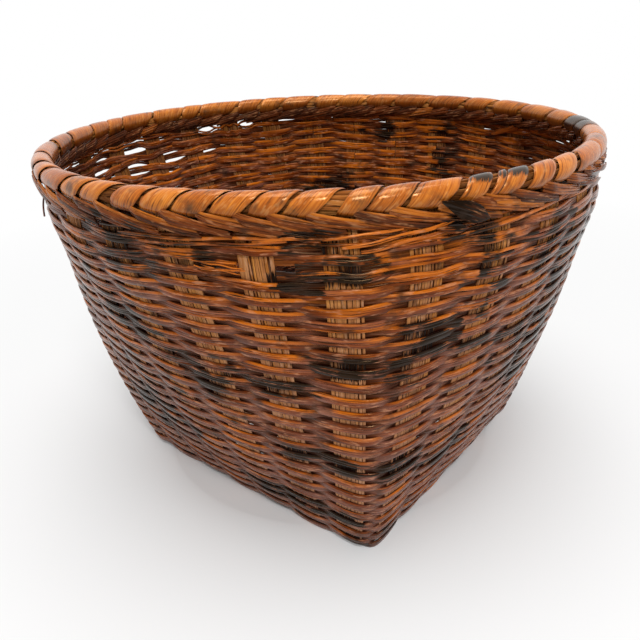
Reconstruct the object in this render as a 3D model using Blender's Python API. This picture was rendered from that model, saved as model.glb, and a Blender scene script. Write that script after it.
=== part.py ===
"""Woven storage basket: a square plaited base, a wall that rounds as it rises, and a lashed round rim.

Metres, +Z up. The origin is on the floor under the middle of the rim, and the base lies along X and Y.
The splints of the base turn up at its edges and become the upright stakes of the wall.
"""
import math

import bmesh
import bpy
from mathutils import Vector

# Overall sizes
RIM_DIAMETER = 0.374
HEIGHT = 0.240
BASE_SIDE = 0.2175
BASE_CORNER = 0.020
NEAR_CORNER = 0.010
BASE_SHIFT_X = 0.007
BASE_SHIFT_Y = 0.001
WALL_FULLNESS = 0.24
WALL_SHOULDER = 0.0040
SHOULDER_FOOT = 0.120
SHOULDER_SKEW = 2.6
WALL_SWAY_X = 0.0020
WALL_SWAY_Y = 0.0016
SWAY_EASE = 3
SWAY_END = 12
SQUARE_FADE = 0.8

# Splints, which are the base and the upright stakes
SPLINTS_EACH_WAY = 7
SPLINT_WIDTH = 0.018
SPLINT_THICKNESS = 0.0012
WALL_FOOT = 0.003

# Weft, woven in and out of the stakes
WEFT_COURSES = 17
WEFT_THICKNESS = 0.0014
WEFT_RAISE = 0.0015
STRAND_COURSES = 2
STRAND_HEIGHT = 0.0030
STRAND_SPACE = 0.0008

# Rim: two hoops and a filler rod, bound by one long lashing, over a braid of slanting strips
HOOP_RADIUS = 0.0018
HOOP_DROP = 0.0012
FILLER_RADIUS = 0.0017
LASHING_THICKNESS = 0.0007
TURNS_PER_STAKE = 2
LASHING_SPACE = 0.0014
BRAID_HEIGHT = 0.0095
BRAID_THICKNESS = 0.0007
BRAID_SLANT = 0.014

# Clearances: between flat neighbours, and between pieces that curve differently
CLEARANCE = 0.0003
ROUND_CLEARANCE = 0.0006

# Steps of the rounded pieces
STAKE_BENDS = 14
BEND_EASE = 1.5
LASHING_STEPS = 6
HOOP_SIDES = 6
STAKES_PER_SIDE = SPLINTS_EACH_WAY
STAKES = 4 * STAKES_PER_SIDE
LASHING_TURNS = TURNS_PER_STAKE * STAKES

# Places that follow from the sizes
BASE_HALF = BASE_SIDE / 2
SPLINT_PITCH = BASE_SIDE / SPLINTS_EACH_WAY
BASE_LIFT = (SPLINT_THICKNESS + CLEARANCE) / 2
BASE_MIDDLE = BASE_LIFT + SPLINT_THICKNESS / 2
CROSSING_HALF = SPLINT_WIDTH / 2 + ROUND_CLEARANCE
WEFT_SWING = (SPLINT_THICKNESS + WEFT_THICKNESS) / 2 + ROUND_CLEARANCE

HOOP_OUT = SPLINT_THICKNESS / 2 + ROUND_CLEARANCE + HOOP_RADIUS
HOOP_REACH = math.hypot(HOOP_OUT, HOOP_DROP) + HOOP_RADIUS
LASHING_FLAT = HOOP_REACH + ROUND_CLEARANCE
LASHING_BULGE = 1 / math.cos(math.pi / LASHING_STEPS)
LASHING_INSIDE = LASHING_FLAT * LASHING_BULGE
LASHING_OUTSIDE = (LASHING_FLAT + LASHING_THICKNESS) * LASHING_BULGE
FILLER_RISE = LASHING_FLAT - ROUND_CLEARANCE - FILLER_RADIUS

RIM_RADIUS = RIM_DIAMETER / 2 - LASHING_OUTSIDE
RIM_HEIGHT = HEIGHT - LASHING_FLAT - LASHING_THICKNESS
BRAID_TOP = RIM_HEIGHT - LASHING_FLAT - LASHING_THICKNESS - CLEARANCE - ROUND_CLEARANCE
BRAID_FOOT = BRAID_TOP - BRAID_HEIGHT
STRAND_PITCH = STRAND_HEIGHT + STRAND_SPACE
WEFT_TOP = BRAID_FOOT - CLEARANCE - STRAND_COURSES * STRAND_PITCH
WEFT_FOOT = WALL_FOOT + WEFT_RAISE
COURSE_HEIGHT = (WEFT_TOP - WEFT_FOOT) / WEFT_COURSES


def clear_scene():
    for old in list(bpy.data.objects):
        bpy.data.objects.remove(old, do_unlink=True)


def make_material(name, colour, roughness):
    """One Principled material with a plain colour."""
    material = bpy.data.materials.new(name)
    material.use_nodes = True
    shader = material.node_tree.nodes["Principled BSDF"]
    shader.inputs["Base Color"].default_value = (*colour, 1.0)
    shader.inputs["Roughness"].default_value = roughness
    shader.inputs["Metallic"].default_value = 0.0
    return material


def square_radius(angle):
    """Distance from the middle of the base to its rounded square edge; the corner at +X -Y is sharper."""
    turn = (angle + math.pi / 4) % (math.pi / 2) - math.pi / 4
    cosine, sine = math.cos(turn), abs(math.sin(turn))
    corner = NEAR_CORNER if angle % (2 * math.pi) > 1.5 * math.pi else BASE_CORNER
    centre = BASE_HALF - corner
    if BASE_HALF * sine / cosine <= centre:
        return BASE_HALF / cosine
    return centre * (cosine + sine) + math.sqrt(corner ** 2 - (centre * (cosine - sine)) ** 2)


def mean_square_radius():
    steps = 360
    return sum(square_radius(2 * math.pi * i / steps) for i in range(steps)) / steps


BASE_MEAN = mean_square_radius()


def stake_angle(stake, rise):
    """Angle round the basket of a stake: spaced evenly along each side below, and round the rim above."""
    side = math.floor((stake + 0.5) / STAKES_PER_SIDE)
    along = stake - STAKES_PER_SIDE * side - (STAKES_PER_SIDE - 1) / 2
    below = math.atan2(along * SPLINT_PITCH, BASE_HALF)
    above = 2 * math.pi * along / STAKES
    return side * math.pi / 2 + below + (above - below) * rise


def shoulder(height):
    """How far the wall stands out at its shoulder, which ends under the rim."""
    share = min(max((height - SHOULDER_FOOT) / (BRAID_TOP - SHOULDER_FOOT), 0.0), 1.0)
    return WALL_SHOULDER * math.sin(math.pi * share ** SHOULDER_SKEW) ** 2


def wall_point(stake, height):
    """Point of the wall's middle surface at a place among the stakes (0 to STAKES) and a height.

    The wall swells as it rises, has a shoulder under the rim and sways a little to one side.
    """
    rise = min((height - WALL_FOOT) / (RIM_HEIGHT - WALL_FOOT), 1.0)
    swell = rise + 4 * WALL_FULLNESS * rise * (1 - rise)
    square = (1 - rise) ** SQUARE_FADE
    angle = stake_angle(stake, rise)
    round_radius = RIM_RADIUS * swell + BASE_MEAN * (1 - swell) + shoulder(height)
    radius = round_radius + (square_radius(angle) - BASE_MEAN) * square
    below_rim = min((height - WALL_FOOT) / (BRAID_TOP - WALL_FOOT), 1.0)
    sway = (1 - (1 - below_rim) ** SWAY_EASE) * (1 - below_rim ** SWAY_END)
    return Vector((
        BASE_SHIFT_X * (1 - rise) + WALL_SWAY_X * sway + radius * math.cos(angle),
        BASE_SHIFT_Y * (1 - rise) + WALL_SWAY_Y * sway + radius * math.sin(angle),
        height,
    ))


def wall_along(stake, height):
    """Direction and length of one stake's step round the wall."""
    step = 0.02
    return (wall_point(stake + step, height) - wall_point(stake - step, height)) / (2 * step)


def wall_up(stake, height):
    step = 0.0005
    top = min(height + step, RIM_HEIGHT)
    return (wall_point(stake, top) - wall_point(stake, top - 2 * step)).normalized()


def wall_normal(stake, height):
    """Outward direction of the wall."""
    return wall_along(stake, height).cross(wall_up(stake, height)).normalized()


def beside(stake, height, distance):
    """Place among the stakes that lies a distance to the side of a stake."""
    return stake + distance / wall_along(stake, height).length


def new_piece(name, solid, material, smooth=False):
    """Turn a bmesh into a named object with its own material."""
    bmesh.ops.recalc_face_normals(solid, faces=solid.faces)
    mesh = bpy.data.meshes.new(name)
    solid.to_mesh(mesh)
    solid.free()
    mesh.materials.append(material)
    if smooth:
        mesh.shade_smooth()
        mesh.set_sharp_from_angle(angle=math.radians(70))
    piece = bpy.data.objects.new(name, mesh)
    bpy.context.scene.collection.objects.link(piece)
    return piece


def add_strip(solid, sections, closed=False):
    """Join four-cornered sections into one closed body."""
    rings = [[solid.verts.new(corner) for corner in section] for section in sections]
    count = len(rings)
    sides = len(rings[0])
    last = count if closed else count - 1
    for i in range(last):
        here, there = rings[i], rings[(i + 1) % count]
        for k in range(sides):
            solid.faces.new((here[k], here[(k + 1) % sides], there[(k + 1) % sides], there[k]))
    if not closed:
        solid.faces.new(rings[0])
        solid.faces.new(reversed(rings[-1]))


def flat_section(left, right, normal, thickness):
    """Section of a splint between its two edges."""
    half = normal * (thickness / 2)
    return [left - half, right - half, right + half, left + half]


def mitred_normals(middles, sideways):
    """Normal of a bent splint at each station, lengthened so that its thickness stays even."""
    normals = []
    for i, side in enumerate(sideways):
        before = (middles[i] - middles[max(i - 1, 0)]).normalized() if i else None
        after = (middles[i + 1] - middles[i]).normalized() if i + 1 < len(middles) else None
        legs = [leg for leg in (before, after) if leg is not None]
        faces = [side.cross(leg).normalized() for leg in legs]
        bisector = sum(faces, Vector()).normalized()
        normals.append(bisector / bisector.dot(faces[0]))
    return normals


def stake_stations(stake):
    """Edges of a stake from the foot of the wall to its end between the hoops, closer towards the rim."""
    stations = []
    for bend in range(STAKE_BENDS + 1):
        left_over = (1 - bend / STAKE_BENDS) ** BEND_EASE
        height = RIM_HEIGHT - (RIM_HEIGHT - WALL_FOOT) * left_over
        left = wall_point(beside(stake, height, -SPLINT_WIDTH / 2), height)
        right = wall_point(beside(stake, height, SPLINT_WIDTH / 2), height)
        stations.append((left, right))
    return stations


def base_stations(row, along_x):
    """Edges of a splint across the base, over and under the splints that cross it."""
    place = (row - (SPLINTS_EACH_WAY - 1) / 2) * SPLINT_PITCH
    stations = []
    for crossing in range(SPLINTS_EACH_WAY):
        middle = (crossing - (SPLINTS_EACH_WAY - 1) / 2) * SPLINT_PITCH
        over = (row + crossing) % 2 == (0 if along_x else 1)
        height = BASE_MIDDLE + (BASE_LIFT if over else -BASE_LIFT)
        for end in (-CROSSING_HALF, CROSSING_HALF):
            run = middle + end
            near, far = place - SPLINT_WIDTH / 2, place + SPLINT_WIDTH / 2
            if along_x:
                left, right = Vector((run, near, height)), Vector((run, far, height))
            else:
                left, right = Vector((far, run, height)), Vector((near, run, height))
            shift = Vector((BASE_SHIFT_X, BASE_SHIFT_Y, 0.0))
            stations.append((left + shift, right + shift))
    return stations


def make_splint(name, row, along_x, colour):
    """One splint: up one wall, across the base and up the opposite wall."""
    mirrored = SPLINTS_EACH_WAY - 1 - row
    if along_x:
        start, end = 2 * STAKES_PER_SIDE + mirrored, row
    else:
        start, end = 3 * STAKES_PER_SIDE + row, STAKES_PER_SIDE + mirrored
    first_wall = [(right, left) for left, right in reversed(stake_stations(start))]
    stations = first_wall + base_stations(row, along_x) + stake_stations(end)
    middles = [(left + right) / 2 for left, right in stations]
    sideways = [(right - left).normalized() for left, right in stations]
    normals = mitred_normals(middles, sideways)
    sections = [
        flat_section(left, right, normal, SPLINT_THICKNESS)
        for (left, right), normal in zip(stations, normals)
    ]
    solid = bmesh.new()
    add_strip(solid, sections)
    return new_piece(name, solid, make_material(name, colour, 0.45))


def make_course(name, course, foot, top, colour):
    """One weft course: a band that goes outside and inside the stakes by turns."""
    middle = (foot + top) / 2
    sections = []
    for stake in range(STAKES):
        swing = WEFT_SWING if (stake + course) % 2 == 0 else -WEFT_SWING
        for edge in (-CROSSING_HALF, CROSSING_HALF):
            place = beside(stake, middle, edge)
            normal = wall_normal(place, middle)
            low, high = wall_point(place, foot), wall_point(place, top)
            inner = normal * (swing - WEFT_THICKNESS / 2)
            outer = normal * (swing + WEFT_THICKNESS / 2)
            sections.append([low + inner, low + outer, high + outer, high + inner])
    solid = bmesh.new()
    add_strip(solid, sections, closed=True)
    return new_piece(name, solid, make_material(name, colour, 0.35))


def make_hoop(name, out, rise, radius, colour):
    """A round rod bent into a ring, out from the rim's middle line and above it."""
    count = 2 * STAKES
    sections = []
    for i in range(count):
        angle = 2 * math.pi * i / count
        section = []
        for k in range(HOOP_SIDES):
            turn = 2 * math.pi * k / HOOP_SIDES
            reach = RIM_RADIUS + out + radius * math.cos(turn)
            height = RIM_HEIGHT + rise + radius * math.sin(turn)
            section.append(Vector((reach * math.cos(angle), reach * math.sin(angle), height)))
        sections.append(section)
    solid = bmesh.new()
    add_strip(solid, sections, closed=True)
    return new_piece(name, solid, make_material(name, colour, 0.6), smooth=True)


def rim_point(angle, turn, radius):
    """Point round the rim's tube: turn 0 is outward and a quarter turn is up."""
    reach = RIM_RADIUS + radius * math.cos(turn)
    return Vector((reach * math.cos(angle), reach * math.sin(angle), RIM_HEIGHT + radius * math.sin(turn)))


def least_gap(sections):
    """Least gap between a turn of the lashing and the next one, measured between their edges."""
    count = len(sections)
    return min((sections[(i + LASHING_STEPS) % count][0] - sections[i][1]).length for i in range(count))


def make_lashing(name, colour):
    """One long splint wound over the hoops; its turns bunch up below to pass between the stakes."""
    stake_pitch = 2 * math.pi * RIM_RADIUS / STAKES
    gap = stake_pitch - SPLINT_WIDTH - 2 * ROUND_CLEARANCE
    pass_width = gap / TURNS_PER_STAKE - LASHING_SPACE
    full_width = stake_pitch / TURNS_PER_STAKE - LASHING_SPACE
    crowding = 1 - (pass_width + LASHING_SPACE) / (full_width + LASHING_SPACE)
    sections = []
    for turn in range(LASHING_TURNS):
        for step in range(LASHING_STEPS):
            share = (step + 0.5) / LASHING_STEPS
            nearest_pass = turn + (1 if share > 0.5 else 0)
            from_middle = (nearest_pass % TURNS_PER_STAKE) - (TURNS_PER_STAKE - 1) / 2
            nearness = abs(2 * step + 1 - LASHING_STEPS) / (LASHING_STEPS - 1)
            even = (turn + share + 0.5) * stake_pitch / TURNS_PER_STAKE
            shift = from_middle * crowding * nearness * stake_pitch / TURNS_PER_STAKE
            half_width = (full_width + (pass_width - full_width) * nearness) / 2
            middle = (even - shift) / RIM_RADIUS
            half_angle = half_width / RIM_RADIUS
            round_tube = 2 * math.pi * (share - 0.25)
            sections.append([
                rim_point(middle - half_angle, round_tube, LASHING_INSIDE),
                rim_point(middle + half_angle, round_tube, LASHING_INSIDE),
                rim_point(middle + half_angle, round_tube, LASHING_OUTSIDE),
                rim_point(middle - half_angle, round_tube, LASHING_OUTSIDE),
            ])
    print(f"{name}: least gap to itself {1000 * least_gap(sections):.2f} mm")
    solid = bmesh.new()
    add_strip(solid, sections, closed=True)
    return new_piece(name, solid, make_material(name, colour, 0.3))


def make_braid(name, side, colour):
    """Slanting strips under the lashing, lapped like shingles; side is 1 outside and -1 inside."""
    offset = SPLINT_THICKNESS / 2 + 2 * ROUND_CLEARANCE
    sections = []
    for strip in range(LASHING_TURNS):
        for share, layers in ((0.0, 1.0), (0.94, 2.0)):
            place = (strip + share) / TURNS_PER_STAKE
            foot_place = beside(place, BRAID_FOOT, BRAID_SLANT * side)
            foot, top = wall_point(foot_place, BRAID_FOOT), wall_point(place, BRAID_TOP)
            foot_out = wall_normal(foot_place, BRAID_FOOT) * side
            top_out = wall_normal(place, BRAID_TOP) * side
            thick = offset + BRAID_THICKNESS * layers
            sections.append([
                foot + foot_out * offset,
                foot + foot_out * thick,
                top + top_out * thick,
                top + top_out * offset,
            ])
    solid = bmesh.new()
    add_strip(solid, sections, closed=True)
    return new_piece(name, solid, make_material(name, colour, 0.35))


def main():
    clear_scene()
    tan = (0.45, 0.24, 0.09)
    honey = (0.42, 0.15, 0.04)
    brown = (0.24, 0.09, 0.04)
    amber = (0.50, 0.17, 0.035)
    straw = (0.33, 0.14, 0.05)
    for row in range(SPLINTS_EACH_WAY):
        make_splint(f"splint_x_{row + 1}", row, True, tan)
        make_splint(f"splint_y_{row + 1}", row, False, tan)
    for course in range(WEFT_COURSES):
        foot = WEFT_FOOT + COURSE_HEIGHT * course
        colour = honey if course % 2 else brown
        make_course(f"weft_{course + 1:02d}", course, foot, foot + COURSE_HEIGHT - CLEARANCE, colour)
    for strand in range(STRAND_COURSES):
        foot = WEFT_TOP + STRAND_PITCH * strand
        make_course(f"top_strand_{strand + 1}", WEFT_COURSES + strand, foot, foot + STRAND_HEIGHT, amber)
    make_hoop("rim_hoop_outer", HOOP_OUT, -HOOP_DROP, HOOP_RADIUS, straw)
    make_hoop("rim_hoop_inner", -HOOP_OUT, -HOOP_DROP, HOOP_RADIUS, straw)
    make_hoop("rim_filler", 0.0, FILLER_RISE, FILLER_RADIUS, straw)
    make_lashing("rim_lashing", amber)
    make_braid("rim_braid_outer", 1, honey)
    make_braid("rim_braid_inner", -1, honey)


main()
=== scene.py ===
"""Looks of the woven storage basket: every splint, strand, wrap and loose end, with its wood and varnish.

Metres, +Z up. A place on the wall is a stake number, which is 3 at +X and grows round by +Y up to 28. Left,
right, front and far are as the camera sees them.
"""

import math

import bpy
import numpy as np
from mathutils import Matrix, Vector


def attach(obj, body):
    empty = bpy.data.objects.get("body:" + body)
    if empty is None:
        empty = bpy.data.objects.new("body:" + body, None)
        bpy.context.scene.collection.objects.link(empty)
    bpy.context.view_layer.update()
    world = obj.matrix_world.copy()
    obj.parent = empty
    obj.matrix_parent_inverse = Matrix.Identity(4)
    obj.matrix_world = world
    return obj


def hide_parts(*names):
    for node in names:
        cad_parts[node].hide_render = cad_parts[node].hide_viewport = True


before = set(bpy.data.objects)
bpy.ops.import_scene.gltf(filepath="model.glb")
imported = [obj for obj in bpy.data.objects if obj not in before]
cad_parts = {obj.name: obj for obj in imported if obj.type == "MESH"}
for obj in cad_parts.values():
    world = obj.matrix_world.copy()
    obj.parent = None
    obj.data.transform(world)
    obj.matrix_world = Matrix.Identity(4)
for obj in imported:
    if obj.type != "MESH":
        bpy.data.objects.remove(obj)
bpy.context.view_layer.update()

# Sizes of the basket, as in its frame
HEIGHT = 0.24
BASE_SIDE = 0.2175
SPLINTS_EACH_WAY = 7
STAKES = 4 * SPLINTS_EACH_WAY
MIDDLE_STAKE = (SPLINTS_EACH_WAY - 1) / 2
SPLINT_WIDTH = 0.0176
SPLINT_THICKNESS = 0.0012
WEFT_COURSES = 17

# Radii of the base's corners; the one towards the camera is sharper
BASE_CORNER = 0.02
NEAR_CORNER = 0.01

# How far the base lies off the middle of the rim
BASE_SHIFT_X = 0.007
BASE_SHIFT_Y = 0.001

# How the wall rises: fullness, shoulder, sway to one side, and how soon the square turns round
WALL_FOOT = 0.003
WALL_FULLNESS = 0.24
WALL_SHOULDER = 0.004
SHOULDER_FOOT = 0.12
SHOULDER_SKEW = 2.6
WALL_SWAY_X = 0.002
WALL_SWAY_Y = 0.0016
SWAY_EASE = 3
SWAY_END = 12
SQUARE_FADE = 0.8

# How far in stakes each stake leans to one side
STAKE_LEAN = 0.2

# The coil of the rim
COIL_RADIUS = 0.0068
COIL_RING = 0.1797
COIL_HEIGHT = HEIGHT - COIL_RADIUS
WALL_TOP = COIL_HEIGHT
WALL_NECK = 0.2264

# Slats of each splint, their gaps, how far they part at the top, and the backing in them
SLATS = 8
SLAT_GAP = 0.00005
SLAT_OPENING = 0.00032
BACKING_WIDTH = SPLINT_WIDTH - 0.0012
BACKING_THICKNESS = 0.0005

# Splints in the base: the gap under them, their swing up and down, and their bend at its edge
BASE_LIFT = 0.00015
CROSSING_SWING = 0.0008
BASE_BEND = 0.004

# Weft rows: how they are spread up the wall, swing round the stakes and dip at them
WEFT_ROWS = 47
ROW_FOOT = 0.0036
ROW_TOP = 0.213
ROW_EASE = 0.084
ROW_WIDTH = 0.0054
WEFT_SWING = 0.0013
SWING_POWER = 0.75
ROW_DIP = 0.0006
SPLICE_GAP = 0.02
SAMPLES_PER_STAKE = 10
ROUND_WALL = np.linspace(0, STAKES - 0.01, STAKES * SAMPLES_PER_STAKE + 1)

# Kinds of row: the random draw below which each is taken, and its strands from foot to top: share of the
# row's width, thickness and brightness
ROW_KINDS = [
    (0.3, [(0.64, 0.0014, 0.32), (0.36, 0.0019, 0.78)]),
    (0.45, [(0.52, 0.0016, 0.46), (0.48, 0.0017, 0.66)]),
    (0.6, [(0.32, 0.0017, 0.62), (0.36, 0.0015, 0.38), (0.32, 0.0017, 0.56)]),
    (1.0, [(0.36, 0.0015, 0.3), (0.3, 0.0016, 0.5), (0.34, 0.0019, 0.78)]),
]

# The row that is broken off in front, and the places between which it is missing
BROKEN_ROW = 44
BREAK_START = 25.8
BREAK_END = 26.46

# Strands round the inside of the foot: whether flat on the base, height, how far in, width, thickness, tone
FOOT_STRANDS = (
    (False, 0.0056, 0.0024, 0.007, 0.0009, 0.3),
    (True, 0.0036, 0.005, 0.0068, 0.0008, 0.35),
)

# Loose rows under the braid
LOOSE_ROW_HEIGHTS = (0.2168, 0.2198)
LOOSE_ROW_WIDTH = 0.0018
LOOSE_ROW_THICKNESS = 0.0013

# Rods of the rim, and their directions in degrees from the middle of the coil, where the one at 0 lies
ROD_WIDTH = 0.0026
ROD_DISTANCE = 0.004
RODS = (
    ("rim_hoop_outer", (-50, -15, 20, 50)),
    ("rim_hoop_inner", (130, 160, 195, 230)),
    ("rim_filler", (75, 90, 105, 0)),
)

# Wraps of the rim in front, from where to where in degrees, and how many more there are
FRONT_WRAPS = [
    (253.0, 262.9), (263.2, 269.0), (269.4, 274.6), (276.6, 282.2), (282.5, 288.1), (288.3, 294.1),
    (294.3, 299.6), (299.9, 304.6), (305.0, 310.2), (312.4, 316.3), (316.5, 321.6), (321.9, 328.7),
    (330.0, 334.2), (335.2, 336.8), (337.0, 341.3), (342.8, 348.1), (349.1, 354.7), (356.4, 366.8),
]
OTHER_WRAPS = 27

# One wrap: its turn round the coil in degrees from the outside, thickness, crown and depth in the coil, and
# the slant of its steep part over the top and of its ends
WRAP_TURN = (-112, 262)
WRAP_THICKNESS = 0.0006
WRAP_CROWN = 0.00055
WRAP_BED = 0.0008
WRAP_STEEP = (-60, 140)
STEEP_SLANT = 0.68
END_SLANT = 0.25

# Direction in degrees of the widest gap between wraps, where the rods catch the light
OPEN_GAP = 311.3

# Where the tops of the wraps are burnt, in degrees
BURNT_TOPS = ((329.0, 342.0), (22.0, 40.0))

# Strips of the braid: the widest span in radians that one covers, its length, how far it slants down outside
# and inside, and its four fibres from the lowest up
BRAID_SPAN = 0.13
STRIP_LENGTH = (0.034, 0.041)
STRIP_DROP = (0.0078, 0.0092)
INNER_STRIP_DROP = 0.0064
PLY_TONES = (0.0, 0.0, 0.05, 0.28)
PLY_PITCH = 0.0015
PLY_WIDTH = 0.0019
PLY_THICKNESS = 0.0011
LEAF_THICKNESS = 0.001

# Dark patches, charred where strongest: place, height, half their width in stakes, half their height,
# strength
BURNS = [
    (26.92, 0.207, 0.38, 0.01, 1.35),
    (26.68, 0.1985, 0.24, 0.006, 1.25),
    (27.35, 0.202, 0.22, 0.004, 1.0),
    (23.6, 0.154, 0.55, 0.01, 1.0),
    (24.6, 0.132, 0.5, 0.011, 1.0),
    (25.9, 0.134, 0.5, 0.007, 1.1),
    (27.3, 0.151, 0.65, 0.006, 1.1),
    (27.9, 0.144, 0.3, 0.009, 0.7),
    (0.3, 0.162, 0.42, 0.01, 1.2),
    (1.1, 0.188, 0.2, 0.022, 0.7),
    (2.25, 0.198, 0.38, 0.015, 0.9),
    (1.0, 0.149, 0.4, 0.005, 0.6),
    (2.3, 0.143, 0.6, 0.008, 0.6),
    (26.7, 0.082, 0.7, 0.007, 1.0),
    (28.0, 0.078, 0.45, 0.01, 1.0),
    (1.3, 0.062, 0.6, 0.012, 0.7),
    (22.6, 0.06, 1.1, 0.02, 0.7),
    (25.7, 0.028, 1.2, 0.01, 0.7),
    (26.9, 0.03, 0.45, 0.005, 0.9),
    (27.8, 0.01, 1.0, 0.01, 0.5),
    (0.7, 0.2145, 0.34, 0.006, 1.0),
    (24.4, 0.207, 1.1, 0.015, 0.55),
    (21.7, 0.15, 0.9, 0.06, 0.3),
    (23.0, 0.1, 0.5, 0.03, 0.5),
    (23.2, 0.185, 0.4, 0.02, 0.45),
    (24.0, 0.14, 0.28, 0.05, 0.42),
    (25.0, 0.125, 0.45, 0.028, 0.42),
    (3.3, 0.118, 0.6, 0.022, 0.6),
    (2.6, 0.12, 0.7, 0.03, 0.7),
    (3.4, 0.17, 0.8, 0.03, 0.7),
    (9.9, 0.19, 0.28, 0.024, 0.8),
    (11.5, 0.208, 0.3, 0.01, 0.8),
    (6.2, 0.12, 0.8, 0.02, 0.7),
    (8.4, 0.07, 0.9, 0.018, 0.8),
    (12.6, 0.15, 0.6, 0.016, 0.8),
    (14.3, 0.09, 0.9, 0.02, 0.8),
    (16.8, 0.05, 0.7, 0.018, 0.7),
    (19.5, 0.12, 0.8, 0.016, 0.8),
]

# Slits where the rows have parted: place, height, half their length in stakes, half their opening
SLITS = [
    (18.69, 0.219, 0.14, 0.0019),
    (18.69, 0.211, 0.22, 0.0027),
    (18.75, 0.2015, 0.26, 0.0028),
    (18.16, 0.2205, 0.15, 0.0021),
    (17.8, 0.2187, 0.22, 0.002),
    (17.74, 0.2103, 0.36, 0.0036),
    (17.77, 0.2, 0.36, 0.0028),
    (17.77, 0.1935, 0.36, 0.0024),
    (19.25, 0.2155, 0.07, 0.0009),
    (19.6, 0.2138, 0.08, 0.0009),
    (19.1, 0.2062, 0.08, 0.0009),
    (16.85, 0.2035, 0.32, 0.0021),
    (16.8, 0.1975, 0.38, 0.0025),
    (17.0, 0.1915, 0.24, 0.0017),
    (15.74, 0.2196, 0.16, 0.0034),
    (15.28, 0.219, 0.08, 0.003),
    (15.08, 0.2186, 0.07, 0.003),
    (14.78, 0.2178, 0.15, 0.0034),
    (15.88, 0.1962, 0.26, 0.0017),
    (26.95, 0.2, 0.3, 0.0014),
    (27.05, 0.19, 0.3, 0.0016),
]

# Loose strands over the weft: place and height of each end, how far out each end lies, width and tone.
# The last one lies on the inner side.
LOOSE_STRANDS = [
    (24.3, 0.2145, 26.7, 0.219, 0.002, 0.003, 0.0019, 0.85),
    (24.6, 0.212, 26.6, 0.2165, 0.002, 0.0028, 0.0015, 0.7),
    (26.2, 0.2165, 27.9, 0.2198, 0.003, 0.0032, 0.0016, 0.9),
    (27.2, 0.2135, 28.6, 0.2205, 0.0022, 0.0036, 0.0019, 0.95),
    (27.4, 0.212, 28.9, 0.2185, 0.002, 0.0034, 0.0017, 0.8),
    (28.3, 0.212, 30.6, 0.22, 0.0022, 0.0036, 0.002, 0.85),
    (29.2, 0.214, 31.4, 0.2225, 0.0022, 0.0036, 0.0017, 0.7),
    (25.35, 0.2065, 25.98, 0.2068, 0.0022, 0.0034, 0.0008, 1.0),
    (25.45, 0.206, 26.06, 0.2052, 0.0022, 0.0046, 0.0007, 1.0),
    (25.4, 0.2035, 26.08, 0.204, 0.0022, 0.0042, 0.0008, 1.0),
    (25.5, 0.2045, 26.02, 0.2026, 0.002, 0.005, 0.0006, 1.0),
    (25.45, 0.2025, 25.95, 0.2034, 0.002, 0.0038, 0.0007, 0.9),
    (21.2, 0.211, 21.9, 0.204, 0.002, 0.0046, 0.0016, 0.4),
    (19.6, 0.219, 20.3, 0.223, 0.0022, 0.006, 0.0014, 0.6),
    (8.6, 0.211, 10.8, 0.218, 0.002, 0.0034, 0.0018, 0.75),
    (15.3, 0.212, 17.2, 0.219, 0.002, 0.0034, 0.0018, 0.8),
    (8.0, 0.2215, 8.75, 0.2122, -0.0032, -0.0026, 0.0046, 0.8),
]

# Strips of the braid that have opened out: place and height of each end, how far out, width, tone, burn
LEAVES = [
    (0.34, 0.2318, 0.95, 0.2208, 0.008, 0.01, 0.1, 1.05),
    (0.3, 0.2192, 0.7, 0.2176, 0.0068, 0.0046, 0.6, 0.9),
    (3.1, 0.227, 3.95, 0.225, 0.0074, 0.0034, 0.5, 0.2),
    (2.6, 0.224, 3.6, 0.2195, 0.007, 0.003, 0.4, 0.4),
]

# How soon a burnt patch fades at its edge, and how far up and down the rows give way to a slit
BURN_CORE = 1.6
BURN_FADE = 0.8
SLIT_REACH = 0.007

# How much painted shade darkens the wood where its neighbours lie over it, and on the inner side
RECESS_PAINTED_SHADE = 0.74
INSIDE_PAINTED_SHADE = 0.06

# Greyed parts, partly weathering and partly painted sheen: all, the foot more, up to a height, and the flanks
# beside the front, each with its place, its breadth in stakes and how much greyer it is
WEAR_SHEEN_ALL = 0.08
WEAR_SHEEN_FOOT = 0.54
LOW_WALL_HEIGHT = 0.2
WEAR_SHEEN_LEFT = (22.3, 1.6, 0.4)
WEAR_SHEEN_RIGHT = (2.8, 1.7, 0.44)

# Middle and breadth in stakes of the seen inner side, the bright strands in front (partly painted highlight),
# the inner side round the parted rows that gets painted shade, and the far side to the right of them
SEEN_INSIDE = (12.5, 7.0)
BRIGHT_AND_HIGHLIT = (28.6, 1.5)
SHADED_INSIDE = (17.3, 2.2)
FAR_SIDE = (9.0, 5.5)

# Colours the woods share: gloss, deep char and its painted grey highlight, stains, cracks, and painted shade
# between pieces
GLOSS_TINT = (1.0, 0.58, 0.28)
CHAR_DEEP = (0.002, 0.001, 0.001)
CHAR_PAINTED_GLINT = (0.038, 0.031, 0.029)
STAIN = (0.03, 0.018, 0.014)
CRACK = (0.02, 0.006, 0.002)
PAINTED_SHADE_COLOUR = (0.028, 0.0045, 0.0008)

# How many blotches, stains, lines along the grain and specks there are to a metre
BLOTCH_SCALE = 60.0
STAIN_SCALE = 95.0
LINE_SCALE_ALONG = 45
SPECK_SCALE = (700, 700, 160)
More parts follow.
